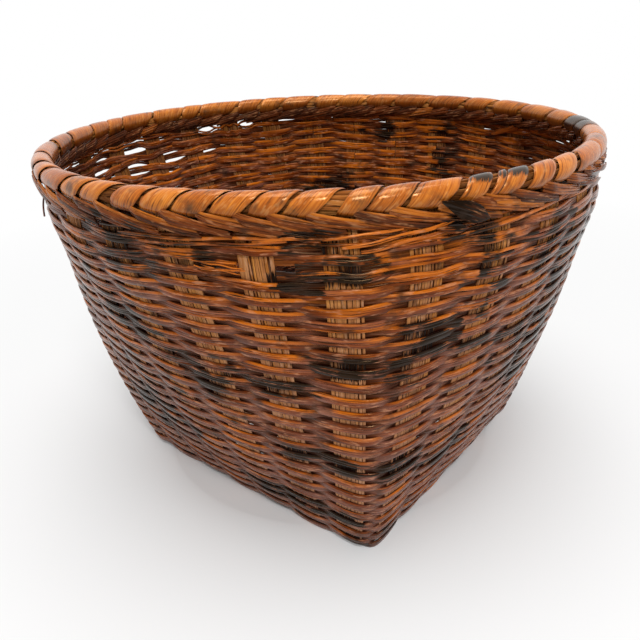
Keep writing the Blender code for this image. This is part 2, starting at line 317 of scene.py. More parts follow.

# The woods: colours from dark to bright, where greyed (partly weathering, partly painted sheen) and of
# painted glints, roughness, lines to a metre, their depth, contrast, cracks and sheen. The weft is dark with
# strong lines, the braid duller, the stakes and the rods in the rim pale and dull, and its wraps the lightest
# and glossiest.
WOODS = {
    "weft_wood": dict(
        stops=[(0.08, (0.026, 0.004, 0.001)), (0.48, (0.17, 0.029, 0.003)), (0.92, (0.61, 0.15, 0.008))],
        wear_and_sheen_colour=(0.235, 0.102, 0.076), painted_glint=(0.68, 0.32, 0.17), roughness=0.17,
        line_scale=1300, line_depth=0.00016, contrast=1.4, cracks=1.0, sheen=0.24),
    "braid_wood": dict(
        stops=[(0.1, (0.035, 0.007, 0.002)), (0.5, (0.19, 0.038, 0.004)), (0.9, (0.54, 0.155, 0.014))],
        wear_and_sheen_colour=(0.2, 0.085, 0.055), painted_glint=(0.58, 0.26, 0.11), roughness=0.22,
        line_scale=1400, line_depth=0.00016, contrast=1.1, cracks=0.8, sheen=0.14),
    "stake_wood": dict(
        stops=[(0.1, (0.08, 0.02, 0.004)), (0.45, (0.38, 0.13, 0.024)), (0.85, (0.68, 0.29, 0.06))],
        wear_and_sheen_colour=(0.5, 0.262, 0.158), painted_glint=(0.6, 0.34, 0.2), roughness=0.5,
        line_scale=2300, line_depth=0.00012, contrast=1.0, cracks=0.7, sheen=0.08),
    "core_wood": dict(
        stops=[(0.1, (0.07, 0.018, 0.005)), (0.5, (0.38, 0.115, 0.02)), (0.9, (0.64, 0.26, 0.06))],
        wear_and_sheen_colour=(0.2, 0.1, 0.06), painted_glint=(0.6, 0.34, 0.16), roughness=0.45,
        line_scale=1500, line_depth=0.0002, contrast=1.0, cracks=0.8, sheen=0.12),
    "lashing_wood": dict(
        stops=[(0.1, (0.12, 0.02, 0.002)), (0.5, (0.44, 0.102, 0.007)), (0.9, (0.78, 0.26, 0.028))],
        wear_and_sheen_colour=(0.28, 0.12, 0.07), painted_glint=(0.72, 0.32, 0.1), roughness=0.18,
        line_scale=1500, line_depth=0.00013, contrast=1.05, cracks=0.65, sheen=0.62),
}

# The photograph's view: where the camera stands and looks, how many degrees it tips down and to one side,
# and its lens and sensor in millimetres
CAMERA_PLACE = (0.2884, -0.3569, 0.3094)
CAMERA_HEADING = (-0.6346, 0.7729, 0.0)
CAMERA_PITCH = 25.54
CAMERA_ROLL = 2.4
LENS = 36.06
SENSOR = 36.0

# Soft lamps, each with its place, size and power, and the point that they face
LAMPS = (
    ("key", (0.95, -0.85, 1.45), 0.4, 16),
    ("over", (0.0, 0.0, 1.7), 1.0, 16),
)
LAMP_AIM = (0.0, 0.0, 0.12)

# White surroundings, how strongly they light the basket, and the floor with the ring in which it fades
WHITE = (1.0, 1.0, 1.0)
WORLD_LIGHT = 0.35
FLOOR_PALE = (0.86, 0.86, 0.86)
FLOOR_RADIUS = 3.0
FLOOR_FADE = (0.13, 0.8)
FLOOR_EASE = 0.45

UPRIGHT = (0.0, 0.0, 1.0)

dice = np.random.default_rng(11)


class Drift:
    """Smooth random unevenness round the basket and up it, which neighbouring rows share."""

    def __init__(self, size, waves_round, waves_up, terms=16):
        low, high = waves_round
        self.round = dice.integers(low, high + 1, terms)[:, None]
        self.up = dice.uniform(-waves_up, waves_up, terms)[:, None]
        self.start = dice.random(terms)[:, None]
        self.size = size * dice.normal(0, 1, terms)[:, None] / math.sqrt(terms / 2)

    def __call__(self, place, height):
        turns = self.round * place / STAKES + self.up * height / HEIGHT + self.start
        return (self.size * np.sin(2 * np.pi * turns)).sum(axis=0)


def wander(places, size, low, high):
    """Smooth random drift along one strand, with from low to high waves round the basket."""
    return Drift(size, (low, high), 0, 10)(places, 0.0)


def unit(vectors):
    return vectors / np.linalg.norm(vectors, axis=-1, keepdims=True)


def held(value):
    """The value, held between 0 and 1."""
    return np.clip(value, 0, 1)


def between(low, high, share):
    return low + (high - low) * share


def round_gap(place, centre):
    """How many stakes a place is past another, going the shorter way round."""
    return (place - centre + STAKES / 2) % STAKES - STAKES / 2


def fade(gap, reach, power=2):
    """1 where the gap is 0, falling to 0 past the reach, more squarely with a higher power."""
    return np.exp(-(gap / reach) ** power)


def square_radius(angle):
    """Distance from the middle of the base to its rounded square edge; one corner is sharper."""
    half = BASE_SIDE / 2
    turn = (angle + np.pi / 4) % (np.pi / 2) - np.pi / 4
    cosine, sine = np.cos(turn), np.abs(np.sin(turn))
    corner = np.where(angle % (2 * np.pi) > 1.5 * np.pi, NEAR_CORNER, BASE_CORNER)
    centre = half - corner
    under_root = np.maximum(corner ** 2 - (centre * (cosine - sine)) ** 2, 0)
    on_side = half * sine / cosine <= centre
    return np.where(on_side, half / cosine, centre * (cosine + sine) + np.sqrt(under_root))


BASE_MEAN = float(square_radius(np.linspace(0, 2 * np.pi, 720, endpoint=False)).mean())


def wall_point(place, height):
    """Points of the wall's middle surface."""
    rise = held((height - WALL_FOOT) / (WALL_TOP - WALL_FOOT))
    below_rim = held((height - WALL_FOOT) / (WALL_NECK - WALL_FOOT))
    bulge = held((height - SHOULDER_FOOT) / (WALL_NECK - SHOULDER_FOOT))
    side = np.floor((place + 0.5) / SPLINTS_EACH_WAY)
    along = place - SPLINTS_EACH_WAY * side - MIDDLE_STAKE
    below = np.arctan2(along * BASE_SIDE / SPLINTS_EACH_WAY, BASE_SIDE / 2)
    above = 2 * np.pi * along / STAKES
    angle = side * np.pi / 2 + below + (above - below) * rise
    swell = rise + 4 * WALL_FULLNESS * rise * (1 - rise)
    square = (1 - rise) ** SQUARE_FADE
    radius = COIL_RING * swell + BASE_MEAN * (1 - swell) + (square_radius(angle) - BASE_MEAN) * square
    radius = radius + WALL_SHOULDER * np.sin(np.pi * bulge ** SHOULDER_SKEW) ** 2
    sway = (1 - (1 - below_rim) ** SWAY_EASE) * (1 - below_rim ** SWAY_END)
    x = BASE_SHIFT_X * (1 - rise) + WALL_SWAY_X * sway + radius * np.cos(angle)
    y = BASE_SHIFT_Y * (1 - rise) + WALL_SWAY_Y * sway + radius * np.sin(angle)
    return np.stack([x, y, height + 0 * place], axis=-1)


def wall_frame(place, height):
    """Point, direction round the wall, direction up it and outward normal."""
    step, lift = 0.01, 0.0004
    top = np.clip(height + lift, WALL_FOOT + 2 * lift, WALL_TOP - 0.0001)
    low = top - 2 * lift
    round_wall = unit(wall_point(place + step, height) - wall_point(place - step, height))
    up = unit(wall_point(place, top) - wall_point(place, low))
    out = unit(np.cross(round_wall, up))
    return wall_point(place, height), round_wall, up, out


def leaning(stake, height):
    """Place of a stake at a height: it leans a little to one side as it rises."""
    return stake + STAKE_LEAN * held(height / WALL_TOP)


def rim_place(angle):
    """Place on the wall, in stakes, that lies at an angle round the basket."""
    return angle * STAKES / (2 * np.pi) + MIDDLE_STAKE


def ring_point(angle, radius, height):
    return np.stack([radius * np.cos(angle), radius * np.sin(angle), height + 0 * angle], axis=-1)


def weave_swing(weave):
    """How far out a strand lies, from 1 to -1: its wave, with flatter bends."""
    return np.sign(weave) * np.abs(weave) ** SWING_POWER


def burn_at(place, height):
    """How dark the wall is at each point: 0 where clean, and 1 or more where charred."""
    most = np.zeros(len(place))
    for centre, level, half_places, half_height, strength in BURNS:
        away = (round_gap(place, centre) / half_places) ** 2 + ((height - level) / half_height) ** 2
        most = np.maximum(most, strength * held(BURN_CORE - BURN_FADE * away))
    return most


def wear_and_sheen_at(place, height):
    """How grey and dull, partly weathering and partly painted sheen: more towards the foot and on the flanks
    beside the front.
    """
    seen_inside = fade(place - SEEN_INSIDE[0], SEEN_INSIDE[1], 6)
    low = held(1 - height / LOW_WALL_HEIGHT)
    below_top = 1 - 0.8 * held((height - 0.17) / 0.03)
    # Painted sheen: the flanks beside the front are greyer, standing for the reflection they show at a slant
    left = WEAR_SHEEN_LEFT[2] * fade(place - WEAR_SHEEN_LEFT[0], WEAR_SHEEN_LEFT[1]) * below_top
    right = WEAR_SHEEN_RIGHT[2] * fade(place - WEAR_SHEEN_RIGHT[0], WEAR_SHEEN_RIGHT[1])
    return held((WEAR_SHEEN_ALL + WEAR_SHEEN_FOOT * low + left + right) * (1 - 0.8 * seen_inside))


def bright_and_highlit_at(place, height):
    """Where the strands are brightest, by tone and partly painted highlight: high up on the front, right of
    the burnt patch.
    """
    return fade(round_gap(place, BRIGHT_AND_HIGHLIT[0]), BRIGHT_AND_HIGHLIT[1]) * held((height - 0.165) / 0.02)


def shaded_inside_at(place):
    """Where the inner side gets the most painted shade: at the far left, round the parted rows."""
    return fade(place - SHADED_INSIDE[0], SHADED_INSIDE[1])


def on_far_side(place):
    """1 on the far side to the right of the parted rows, and 0 in front and at the left."""
    return fade(round_gap(place, FAR_SIDE[0]), FAR_SIDE[1], 4)


def part_rows(place, height, row):
    """Heights of a row's points, moved round the slits to the side on which the row lies."""
    moved = height.copy()
    for centre, level, half_places, opening in SLITS:
        along = fade(round_gap(place, centre), half_places, 4)
        away = abs(row - level)
        moved += math.copysign(opening, row - level) * along * math.exp(-away / SLIT_REACH)
    return moved


def put_in_scene(name, data):
    made = bpy.data.objects.new(name, data)
    bpy.context.scene.collection.objects.link(made)
    return made


class Bundle:
    """Closed strands gathered into one mesh, with what their wood needs at each point."""

    def __init__(self):
        self.points = []
        self.faces = []
        self.grain = []
        self.layers = {"tone": [], "burn": [], "age": [], "dim": []}
        self.count = 0

    def add(self, grid, grain, **values):
        """Add one strand from a grid of points: its rings one after another, with both ends capped."""
        rings, sides = grid.shape[:2]
        start = self.count
        ring, side = np.meshgrid(np.arange(rings - 1), np.arange(sides), indexing="ij")
        here = start + ring * sides + side
        beside = start + ring * sides + (side + 1) % sides
        quads = np.stack([here, beside, beside + sides, here + sides], axis=-1).reshape(-1, 4)
        self.faces.extend(quads.tolist())
        self.faces.append(list(range(start + sides - 1, start - 1, -1)))
        last = start + (rings - 1) * sides
        self.faces.append(list(range(last, last + sides)))
        self.points.append(grid.reshape(-1, 3))
        self.grain.append(grain.reshape(-1, 3))
        for label, store in self.layers.items():
            value = np.asarray(values.get(label, 0.0))
            if value.ndim == 1:
                value = value[:, None]
            store.append(np.broadcast_to(value, (rings, sides)).ravel())
        self.count += rings * sides

    def piece(self, name, material, slot, nodes):
        """Make the object, and hide the frame's nodes that it stands for."""
        mesh = bpy.data.meshes.new(name)
        mesh.from_pydata(np.concatenate(self.points).tolist(), [], self.faces)
        grain = mesh.attributes.new("grain", "FLOAT_VECTOR", "POINT")
        grain.data.foreach_set("vector", np.concatenate(self.grain).astype(np.float32).ravel())
        for label, store in self.layers.items():
            layer = mesh.attributes.new(label, "FLOAT", "POINT")
            layer.data.foreach_set("value", np.concatenate(store).astype(np.float32))
        mesh.shade_smooth()
        mesh.set_sharp_from_angle(angle=math.radians(62))
        mesh.materials.append(material)
        piece = put_in_scene(name, mesh)
        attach(piece, "root")
        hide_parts(*nodes)


def oval(sides, power):
    """Corners of a rounded section, two across: power 2 gives an ellipse and more a flatter one."""
    turn = 2 * np.pi * (np.arange(sides) + 0.5) / sides
    across = np.sign(np.cos(turn)) * np.abs(np.cos(turn)) ** (2 / power)
    out = np.sign(np.sin(turn)) * np.abs(np.sin(turn)) ** (2 / power)
    return across, out


def add_strand(bundle, path, wide, width, thick, tone, burn=0.0, age=0.0, front=1.0, sides=8, power=2.0):
    """Sweep a rounded section along a path; wide points across its flat face.

    front is 1 where the strand lies over its neighbours as seen from outside, and -1 where it lies under.
    The hidden side gets painted shade, and so does the whole inner side.
    """
    heading = unit(np.gradient(path, axis=0))
    out = unit(np.cross(heading, wide))
    across = unit(np.cross(out, heading))
    width = np.broadcast_to(width, len(path))[:, None]
    thick = np.broadcast_to(thick, len(path))[:, None]
    x, y = oval(sides, power)
    facing = np.clip(y / np.abs(y).max() * 1.2, -1, 1)[None]
    x = width / 2 * x
    y = thick / 2 * y
    grid = path[:, None] + across[:, None] * x[..., None] + out[:, None] * y[..., None]
    steps = np.linalg.norm(np.diff(path, axis=0), axis=1)
    along = np.concatenate([[0.0], np.cumsum(steps)]) + dice.random() * 50
    grain = np.stack([x, y, np.broadcast_to(along[:, None], x.shape)], axis=-1)
    front = np.broadcast_to(front, len(path))[:, None]
    # Painted shade: darker on the side that lies under its neighbours, and on the whole inner side
    hidden = held((0.35 - front * facing) / 0.9)
    dim = 1 - (1 - RECESS_PAINTED_SHADE * hidden) * (1 - INSIDE_PAINTED_SHADE * (facing < -0.1))
    bundle.add(grid, grain, tone=tone, burn=burn, age=age, dim=dim)


def smooth_path(path, passes):
    """Round off a path's bends, with its ends held."""
    path = path.copy()
    for _ in range(passes):
        path[1:-1] = 0.25 * path[:-2] + 0.5 * path[1:-1] + 0.25 * path[2:]
    return path


def slat_path(row, along_x, sideways):
    """Middle line of one slat: down a wall, over and under across the base, and up again."""
    mirrored = SPLINTS_EACH_WAY - 1 - row
    if along_x:
        start, end = 2 * SPLINTS_EACH_WAY + mirrored, row
    else:
        start, end = 3 * SPLINTS_EACH_WAY + row, SPLINTS_EACH_WAY + mirrored
    heights = np.linspace(WALL_FOOT, WALL_TOP, 48)
    paths, wides = [], []
    for stake, side in ((start, -1), (end, 1)):
        middle = leaning(stake, heights)
        reach = wall_point(middle + 0.5, heights) - wall_point(middle - 0.5, heights)
        place = middle + side * sideways(stake, heights) / np.linalg.norm(reach, axis=1)
        point, round_wall, _, _ = wall_frame(place, heights)
        paths.append(point)
        wides.append(round_wall * side)
    pitch = BASE_SIDE / SPLINTS_EACH_WAY
    run = np.linspace(-BASE_SIDE / 2 + BASE_BEND, BASE_SIDE / 2 - BASE_BEND, 50)
    over = 1 if along_x else -1
    wave = over * (-1) ** row * np.cos(np.pi * (run / pitch + MIDDLE_STAKE))
    level = SPLINT_THICKNESS + BASE_LIFT + CROSSING_SWING * np.clip(1.6 * wave, -1, 1)
    middle = (row - MIDDLE_STAKE) * pitch
    offset = sideways(start + 100, run)
    if along_x:
        base = np.stack([run + BASE_SHIFT_X, middle + offset + BASE_SHIFT_Y, level], axis=-1)
        base_wide = np.broadcast_to([0.0, 1.0, 0.0], base.shape)
    else:
        base = np.stack([middle - offset + BASE_SHIFT_X, run + BASE_SHIFT_Y, level], axis=-1)
        base_wide = np.broadcast_to([-1.0, 0.0, 0.0], base.shape)
    path = np.concatenate([paths[0][::-1], base, paths[1]])
    wide = np.concatenate([wides[0][::-1], base_wide, wides[1]])
    return smooth_path(path, 3), -unit(wide)


def add_slat(bundle, row, along_x, left, right, base_tone):
    """One slat of a splint between two cuts, which drifts a little sideways towards the top."""
    waves = dice.uniform(30, 90, 2)
    starts = dice.uniform(0, 6, 2)
    stray = dice.normal(0, 0.5)

    def sideways(key, distance):
        drift = np.sin(waves[0] * distance + starts[0] + key)
        drift = drift + np.sin(waves[1] * distance + starts[1] - key) + stray
        rise = held(distance / WALL_TOP)
        return (left + right) / 2 + SLAT_OPENING * drift * rise ** 2

    path, wide = slat_path(row, along_x, sideways)
    rise = path[:, 2] / WALL_TOP
    width = right - left - SLAT_GAP - SLAT_OPENING * rise ** 2
    age = np.clip(1.25 - 1.2 * rise + dice.normal(0, 0.15), 0.05, 1)
    # Painted shade on the slats: light where they lie over their neighbours, darker at the foot and inside
    front = np.where(path[:, 2] > WALL_FOOT + 0.001, 0.3, 0.1)
    tone = held(base_tone + dice.normal(0, 0.12))
    thick = SPLINT_THICKNESS * dice.uniform(0.85, 1.0)
    place = rim_place(np.arctan2(path[:, 1], path[:, 0])) % STAKES
    burn = 0.8 * burn_at(place, path[:, 2])
    add_strand(bundle, path, wide, width, thick, tone, burn, age, front, power=5.0)


def make_splints(material):
    """Fourteen splints, each split lengthwise into slats that part a little towards the top."""
    for axis in ("x", "y"):
        for row in range(SPLINTS_EACH_WAY):
            bundle = Bundle()
            base_tone = dice.uniform(0.4, 0.65)
            cuts = np.cumsum(dice.uniform(0.6, 1.4, SLATS))
            cuts = np.concatenate([[0.0], cuts]) / cuts[-1] * SPLINT_WIDTH - SPLINT_WIDTH / 2
            for left, right in zip(cuts[:-1], cuts[1:]):
                add_slat(bundle, row, axis == "x", left, right, base_tone)
            path, wide = slat_path(row, axis == "x", lambda key, distance: 0.0 * distance)
            # A dark backing under the slats' gaps, at the darkest tone and fully in painted shade
            add_strand(bundle, path, wide, BACKING_WIDTH, BACKING_THICKNESS, 0.0, front=-1.0, power=5.0)
            bundle.piece(f"slats_{axis}_{row + 1}", material, "stake_splint", [f"splint_{axis}_{row + 1}"])


def row_heights():
    """Middle heights of the weft rows: a little further apart towards the foot."""
    share = np.arange(WEFT_ROWS) / (WEFT_ROWS - 1)
    return ROW_FOOT + (ROW_TOP - ROW_FOOT) * (share + ROW_EASE * share * (1 - share))


def row_strands():
    """Strands of one row from foot to top: middle, width, thickness and brightness of each."""
    draw = dice.random()
    parts = next(parts for limit, parts in ROW_KINDS if draw < limit)
    strands, used = [], 0.0
    for share, thick, brightness in parts:
        share = share * dice.uniform(0.93, 1.07)
        strands.append((used + share / 2 - 0.5, share, thick * dice.uniform(0.9, 1.1), brightness))
        used += share
    return strands


def row_ends(number, first):
    """Where the strands of a row start and end: behind stakes, or at the break."""
    if number == BROKEN_ROW:
        return [BREAK_END - STAKES, 5, 13, BREAK_START]
    splices = np.sort(dice.choice(np.arange(1, STAKES // 2), dice.integers(1, 4), replace=False))
    behind = first if (first + number) % 2 else first + 1
    return np.concatenate([[0], 2 * splices, [STAKES]]) + behind


def strand_tone(stake, place, level, weave, brightness, low):
    """How light a strand is: more at the stakes, high in front partly as painted highlight, where it shows
    far off, less in painted shade inside.
    """
    even = 0.6 * low * (brightness - 0.5)
    tone = brightness * (1 - 0.25 * low) - even - 0.03 + dice.normal(0, 0.12) + wander(stake, 0.1, 6, 40)
    # Painted highlight in part: lighter high up in front
    tone = tone + 0.1 * np.abs(weave) + 0.16 * bright_and_highlit_at(place, level)
    inner = 0.45 * (0.55 - brightness) + 0.22 * held(-weave) - 0.14
    # Painted shade: darker on the inner side round the parted rows
    tone = tone + inner * on_far_side(stake) - 0.14 * shaded_inside_at(place)
    return held(tone)


def strand_wear_and_sheen(stake, place, level, crossing, brightness, looseness, low):
    """How grey a strand is, partly weathering and partly painted sheen: more between the stakes, less high in
    front and far off.
    """
    # Painted sheen: greyer where the strand crosses between stakes; dull strands are greyer too
    dullness = ((0.5 - brightness) * (1.4 - looseness) + 0.55 * crossing) * (0.4 + 0.8 * low)
    drift = dice.normal(0, 0.12) + wander(stake, 0.16, 6, 40)
    age = held(wear_and_sheen_at(place, level) * (1 + dullness) + 0.6 * dullness + drift)
    return age * (1 - 0.6 * bright_and_highlit_at(place, level)) * (1 - 0.7 * on_far_side(stake))


def add_row_strand(bundle, number, height, pitch, sag, part, begin, end):
    """One strand of a row, from one stake to another, that swings out and in round them."""
    middle, share, thick, brightness = part
    looseness = held((height - 0.17) / 0.04)
    low = held(1 - height / LOW_WALL_HEIGHT)
    stake = np.linspace(begin, end - SPLICE_GAP, round((end - begin) * SAMPLES_PER_STAKE) + 1)
    weave = np.cos(np.pi * stake) * (-1) ** number
    swing = weave_swing(weave)
    far = on_far_side(stake)
    crossing = 1 - np.abs(weave)
    widening = 1.12 + 0.03 * dice.normal() + 0.28 * held(-weave) + 0.12 * crossing + 0.08 * far
    widening = widening + 0.75 * low * (1 - far) * held(-2.2 * weave)
    width = ROW_WIDTH * pitch * share * widening
    level = height + sag(stake, height) * (0.6 + 0.8 * looseness)
    level = level + middle * ROW_WIDTH * pitch - ROW_DIP * np.abs(weave)
    level = level + wander(stake, 0.0001 + 0.00008 * looseness, 20, 60)
    place = leaning(stake, level) % STAKES
    level = np.maximum(part_rows(place, level, height), width / 2 + 0.0004)
    point, _, up, out = wall_frame(place, level)
    depth = WEFT_SWING * swing + wander(stake, 0.00015, 20, 80) * (1 - np.abs(weave))
    path = point + out * depth[:, None]
    tone = strand_tone(stake, place, level, weave, brightness, low)
    age = strand_wear_and_sheen(stake, place, level, crossing, brightness, looseness, low)
    shifted = (place + dice.normal(0, 0.14)) % STAKES
    burn = burn_at(shifted, level) * dice.uniform(0.5, 1.4)
    flatness = dice.uniform(2.0, 3.0)
    add_strand(bundle, path, up, width, thick, tone, burn, age, swing, power=flatness)


def add_row(bundle, number, height, pitch, sag):
    """One weft row: strands side by side, each spliced a few times on its way round."""
    first = dice.integers(0, STAKES)
    for part in row_strands():
        ends = row_ends(number, first)
        for begin, end in zip(ends[:-1], ends[1:]):
            add_row_strand(bundle, number, height, pitch, sag, part, begin, end)


def add_foot_strands(bundle):
    """Two strands round the inside of the foot, one upright and one flat on the base."""
    for flat, height, reach, width, thick, tone in FOOT_STRANDS:
        point, _, up, out = wall_frame(ROUND_WALL, np.full(len(ROUND_WALL), height))
        inward = unit(out * np.array([-1.0, -1.0, 0.0])) if flat else -out
        wide = inward if flat else up
        # Painted shade on the side of these strands that lies under the rows
        add_strand(bundle, point + reach * inward, wide, width, thick, tone, 0.0, 0.4, -1.0, power=3.0)


def make_weft(material):
    """The weft rows, in as many pieces as the frame has courses."""
    heights = row_heights()
    course_height = (ROW_TOP - ROW_FOOT) / WEFT_COURSES
    sag = Drift(0.0006, (2, 12), 3)
    for course in range(WEFT_COURSES):
        bundle = Bundle()
        for number, height in enumerate(heights):
            if min(int((height - ROW_FOOT) / course_height), WEFT_COURSES - 1) == course:
                pitch = 1 + ROW_EASE * (1 - 2 * number / (WEFT_ROWS - 1))
                add_row(bundle, number, height, pitch, sag)
        if course == 0:
            add_foot_strands(bundle)
        bundle.piece(f"weft_rows_{course + 1:02d}", material, "weft_strand", [f"weft_{course + 1:02d}"])


def make_core(material):
    """Fibrous rods inside the rim: an outer and an inner hoop, and a filler on top."""
    angle = np.linspace(0, 2 * np.pi - 0.001, 361)
    along = angle * STAKES / (2 * np.pi)
    in_gap = fade(angle - math.radians(OPEN_GAP), 0.05)
    for node, turns in RODS:
        bundle = Bundle()
        for turn in turns:
            phase = math.radians(turn) + wander(along, 0.16, 2, 40)
            distance = ROD_DISTANCE + wander(along, 0.0002, 5, 60)
            if turn == 0:
                distance = distance * 0.1
            path = ring_point(angle, COIL_RING + distance * np.cos(phase), COIL_HEIGHT)
            path[:, 2] += distance * np.sin(phase)
            width = ROD_WIDTH + wander(along, 0.0002, 5, 50)
            tone = held(0.7 + dice.normal(0, 0.15))
            # Painted shade: the rods darker where the wraps cover them, and lighter in the open gap
            front = 2 * in_gap - 0.8
            add_strand(bundle, path, UPRIGHT, width, width * 0.8, tone, 0.0, 0.1, front, sides=6)
        bundle.piece(f"{node}_rods", material, "rim_core", [node])


def wrap_shift(turn):
    """How far a wrap has moved along the rim at a turn round the coil, from the outside at 0."""
    low, high = WRAP_STEEP
    steep = np.clip(turn, math.radians(low), math.radians(high))
    return COIL_RADIUS * (STEEP_SLANT * steep + END_SLANT * (turn - steep))


def add_wrap(bundle, start, end, lift, tone, burn):
    """One flat turn of the lashing: slanting over the coil, crowned across and tucked in below."""
    turn = np.radians(np.linspace(*WRAP_TURN, 34))
    outer = np.array([-1.0, -0.92, -0.65, -0.22, 0.22, 0.65, 0.92, 1.0])
    inner = np.array([0.94, 0.0, -0.94])
    across = np.concatenate([outer, inner])
    crown = WRAP_CROWN * (1 - across ** 4)
    thick = np.concatenate([np.zeros(len(outer)), np.full(len(inner), -WRAP_THICKNESS)])
    at_edge = np.abs(across) > 0.96
    reach = COIL_RADIUS - WRAP_BED + crown + thick - 0.0002 * at_edge + lift * across
    below = held((math.radians(25) - turn) / math.radians(95))
    inside = held((turn - math.radians(150)) / math.radians(90))
    pinch = 1 - 0.22 * below - 0.25 * inside
    tremble = 1 + 0.025 * np.sin(5 * turn + dice.random() * 6)
    half = (end - start) * COIL_RING / 2 * pinch * tremble
    lean = dice.uniform(0.85, 1.15)
    axial = wrap_shift(turn - math.radians(30))[:, None] * lean + half[:, None] * across[None]
    theta = (start + end) / 2 + axial / COIL_RING
    radius = COIL_RING + reach[None] * np.cos(turn)[:, None]
    height = COIL_HEIGHT + reach[None] * np.sin(turn)[:, None]
    grid = ring_point(theta, radius, height)
    along = COIL_RADIUS * turn * 1.3 + dice.random() * 50
    side = half[:, None] * across[None] * 0.75
    rows = side.shape
    grain = np.stack([side, np.broadcast_to(reach, rows), np.broadcast_to(along[:, None], rows)], -1)
    # Painted shade: the wrap darker where it turns away from the top, at its edges between wraps, and
    # underneath
    shaded = held((np.abs(turn - math.radians(70)) - math.radians(58)) / math.radians(75))
    dim = np.maximum(0.65 * shaded[:, None], 0.55 * at_edge[None])
    dim = np.where(thick[None] < 0, 0.9, dim)
    charred = burn * held((np.degrees(turn) - 22) / 50)[:, None] * (0.85 + 0.35 * across)[None]
    bundle.add(grid, grain, tone=tone, burn=charred, age=0.05, dim=dim)


def wrap_spans():
    """Where each wrap starts and ends round the rim."""
    spans = [(math.radians(start), math.radians(end)) for start, end in FRONT_WRAPS]
    begin = math.radians(FRONT_WRAPS[-1][1] + 0.4 - 360)
    left = math.radians(FRONT_WRAPS[0][0] - 0.3) - begin
    shares = np.cumsum(dice.uniform(0.6, 1.4, OTHER_WRAPS))
    edges = begin + left * np.concatenate([[0.0], shares]) / shares[-1]
    for start, end in zip(edges[:-1], edges[1:]):
        gap = (end - start) * (0.12 if dice.random() < 0.2 else 0.02)
        spans.append((start, end - gap))
    return spans


def make_lashing(material, spans):
    """The wraps of the rim, uneven in width, with gaps that show the rods."""
    bundle = Bundle()
    for start, end in spans:
        tone = held(0.54 + dice.normal(0, 0.08))
        degrees = math.degrees((start + end) / 2) % 360
        burn = 1.1 if any(low < degrees < high for low, high in BURNT_TOPS) else 0.0
        add_wrap(bundle, start, end, dice.uniform(0.0001, 0.0004), tone, burn)
    bundle.piece("rim_wraps", material, "rim_lashing", ["rim_lashing"])


def add_leaves(bundle):
    """Strips of the braid that have opened out: broad in the middle and pointed at the end."""
    share = np.linspace(0, 1, 24)
    for start, low, end, high, out_by, broad, tone, burn in LEAVES:
        place = between(start, end, share) % STAKES
        angle = (place - MIDDLE_STAKE) * 2 * np.pi / STAKES
        radius = COIL_RING + out_by + 0.0012 * np.sin(np.pi * share)
        path = ring_point(angle, radius, between(low, high, share))
        width = broad * np.clip(np.sin(np.pi * (0.08 + 0.9 * share) ** 1.3), 0.05, 1)
        add_strand(bundle, path, UPRIGHT, width, LEAF_THICKNESS, tone, burn, 0.1, sides=10, power=2.2)


def braid_spans(spans):
    """The spans of the wraps, with the broad ones halved, so that the strips stay close."""
    halves = []
    for start, end in spans:
        middle = (start + end) / 2
        halves += [(start, middle), (middle, end)] if end - start > BRAID_SPAN else [(start, end)]
    return halves


def add_braid_strip(bundle, end, side):
    """One flat strip of fibres, from under a wrap's end slanting down over the next."""
    share = np.linspace(0, 1, 20)
    begin = end - (0.0085 + dice.uniform(-0.001, 0.001)) / COIL_RING
    length = dice.uniform(*STRIP_LENGTH)
    drop = dice.uniform(*STRIP_DROP) if side > 0 else INNER_STRIP_DROP
    strip_tone = dice.normal(0, 0.14)
    top = COIL_HEIGHT - COIL_RADIUS * (0.56 if side > 0 else 0.75)
    for ply, ply_tone in enumerate(PLY_TONES):
        spread = (ply - 1.5) * PLY_PITCH * (1 - 0.15 * share) * dice.uniform(0.95, 1.05)
        angle = begin + (share * length - 0.0008 * ply) / COIL_RING
        level = top - drop * (0.75 * share + 0.25 * np.sin(np.pi * share / 2)) + spread
        level = level + 0.0003 * np.sin(share * dice.uniform(3, 7) + dice.random() * 6)
        rising = held(share / 0.16)
        outward = 0.005 + 0.0017 * rising - 0.0032 * held((share - 0.16) / 0.84)
        outward = outward - 0.0004 * abs(ply - 1.5)
        path = ring_point(angle, COIL_RING + side * outward + 0.0016 * share, level)
        width = PLY_WIDTH * (1 - 0.25 * share ** 2) * dice.uniform(0.85, 1.1)
        tone = held(0.46 + strip_tone + dice.normal(0, 0.18) + ply_tone)
        burn = burn_at(rim_place(angle) % STAKES, level - 0.004) * dice.uniform(0.5, 1.2)
        # Painted shade where a strip's end tucks under the next; inside, the strips are darker and in painted
        # shade
        front = 1.0 - 1.2 * share ** 3
        if side < 0:
            tone, burn, front = 0.15 + max(1.8 * strip_tone, 0.0), 0.0, -1.0
        add_strand(bundle, path, UPRIGHT, width, PLY_THICKNESS, tone, burn, 0.15, front, power=2.5)


def make_braid(material, spans, side):
    """The strips under the coil, outside where side is 1 and inside where it is -1."""
    bundle = Bundle()
    for start, end in braid_spans(spans):
        add_braid_strip(bundle, end, side)
    if side > 0:
        add_leaves(bundle)
    name = "outer" if side > 0 else "inner"
    bundle.piece(f"braid_strips_{name}", material, "rim_braid", [f"rim_braid_{name}"])


